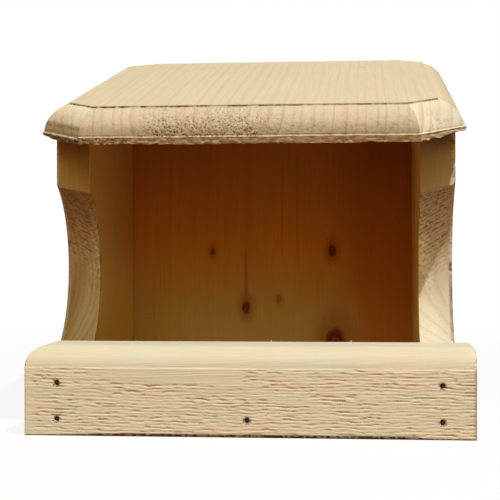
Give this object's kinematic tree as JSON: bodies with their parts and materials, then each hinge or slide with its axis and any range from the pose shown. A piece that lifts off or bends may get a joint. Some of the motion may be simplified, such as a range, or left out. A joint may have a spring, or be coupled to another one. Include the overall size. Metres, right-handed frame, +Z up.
{
  "type": "birdhouse",
  "caption": "Open-fronted wooden nest box with scalloped sides, a thick front rail and a sloping moulded roof board with clipped corners.",
  "frame": {"origin": "on the ground, in the middle of the rectangle that the two sides stand on", "axes": "+Z up, -Y out of the open front, +X to the right of someone who looks into the front"},
  "size_m": [0.238, 0.2336, 0.2282],
  "materials": {
    "pine_roof": "planed pale pine with its grain from front to rear, unfinished",
    "pine_side": "planed pale pine with upright grain and a sawn scallop, unfinished",
    "pine_back": "planed knotty pine with upright grain, unfinished",
    "pine_floor": "planed pale pine, unfinished",
    "pine_rail": "rough-sawn face and planed rounded top, unfinished pale pine",
    "nail_steel": "dull plain steel"
  },
  "bodies": {
    "root": {"roof_board": "pine_roof", "side_left": "pine_side", "side_right": "pine_side", "back_board": "pine_back", "floor_board": "pine_floor", "front_rail": "pine_rail", "rail_nails": "nail_steel", "left_side_nails": "nail_steel", "right_side_nails": "nail_steel", "roof_nails": "nail_steel"}
  },
  "joints": []
}
